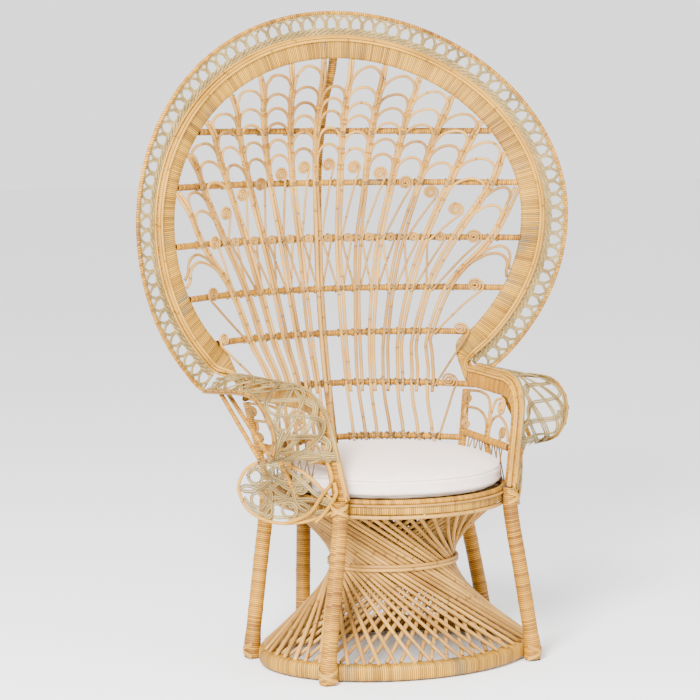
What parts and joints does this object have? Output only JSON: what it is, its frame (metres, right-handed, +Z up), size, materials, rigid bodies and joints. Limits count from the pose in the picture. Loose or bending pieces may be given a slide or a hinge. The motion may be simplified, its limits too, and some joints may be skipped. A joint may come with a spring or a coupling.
{
  "type": "armchair",
  "caption": "High backed cane armchair with a wide oval fan back in a looped lace border, curved arms with woven side panels, an oval seat with a loose cushion, and an hourglass base.",
  "frame": {"origin": "middle of the bounding box's footprint, on the floor", "axes": "+Z up, the sitter faces -Y, +X to the right seen from the front"},
  "size_m": [1.132, 0.6824, 1.4971],
  "materials": {
    "wrapped_cane": "satin",
    "bare_rod": "satin",
    "flat_cane": "matte",
    "cushion_cloth": "matte"
  },
  "bodies": {
    "root": {"base_ring": "wrapped_cane", "leg_front_right": "wrapped_cane", "leg_front_left": "wrapped_cane", "leg_side_right": "wrapped_cane", "leg_side_left": "wrapped_cane", "leg_back_right": "wrapped_cane", "leg_back_left": "wrapped_cane", "skirt_outer": "bare_rod", "skirt_inner": "bare_rod", "waist_rod_lower": "bare_rod", "waist_rod_upper": "bare_rod", "seat_rod_upper": "wrapped_cane", "seat_apron": "wrapped_cane", "seat_rod_lower": "bare_rod", "seat_deck": "flat_cane", "cushion": "cushion_cloth", "fan_band": "wrapped_cane", "arm_band_left": "wrapped_cane", "arm_band_right": "wrapped_cane", "piping_edge": "bare_rod", "piping_face": "bare_rod", "fan_lace": "flat_cane", "fan_rim": "wrapped_cane", "back_rail_1": "wrapped_cane", "back_rail_2": "wrapped_cane", "back_rail_3": "wrapped_cane", "back_rail_4": "wrapped_cane", "back_rail_5": "wrapped_cane", "back_rail_6": "wrapped_cane", "back_rail_7": "wrapped_cane", "centre_post": "wrapped_cane", "stem_right_1": "bare_rod", "stem_left_1": "bare_rod", "stem_right_2": "bare_rod", "stem_left_2": "bare_rod", "stem_right_3": "bare_rod", "stem_left_3": "bare_rod", "stem_right_4": "bare_rod", "stem_left_4": "bare_rod", "stem_right_5": "bare_rod", "stem_left_5": "bare_rod", "stem_right_6": "bare_rod", "stem_left_6": "bare_rod", "stem_right_7": "bare_rod", "stem_left_7": "bare_rod", "arm_back_post_right": "wrapped_cane", "arm_back_post_left": "wrapped_cane", "arm_rail_right": "wrapped_cane", "arm_rail_left": "wrapped_cane", "arm_wing_right": "flat_cane", "arm_wing_left": "flat_cane", "arm_wing_rim_right": "bare_rod", "arm_wing_rim_left": "bare_rod", "arm_lobe_right": "flat_cane", "arm_lobe_left": "flat_cane"}
  },
  "joints": []
}
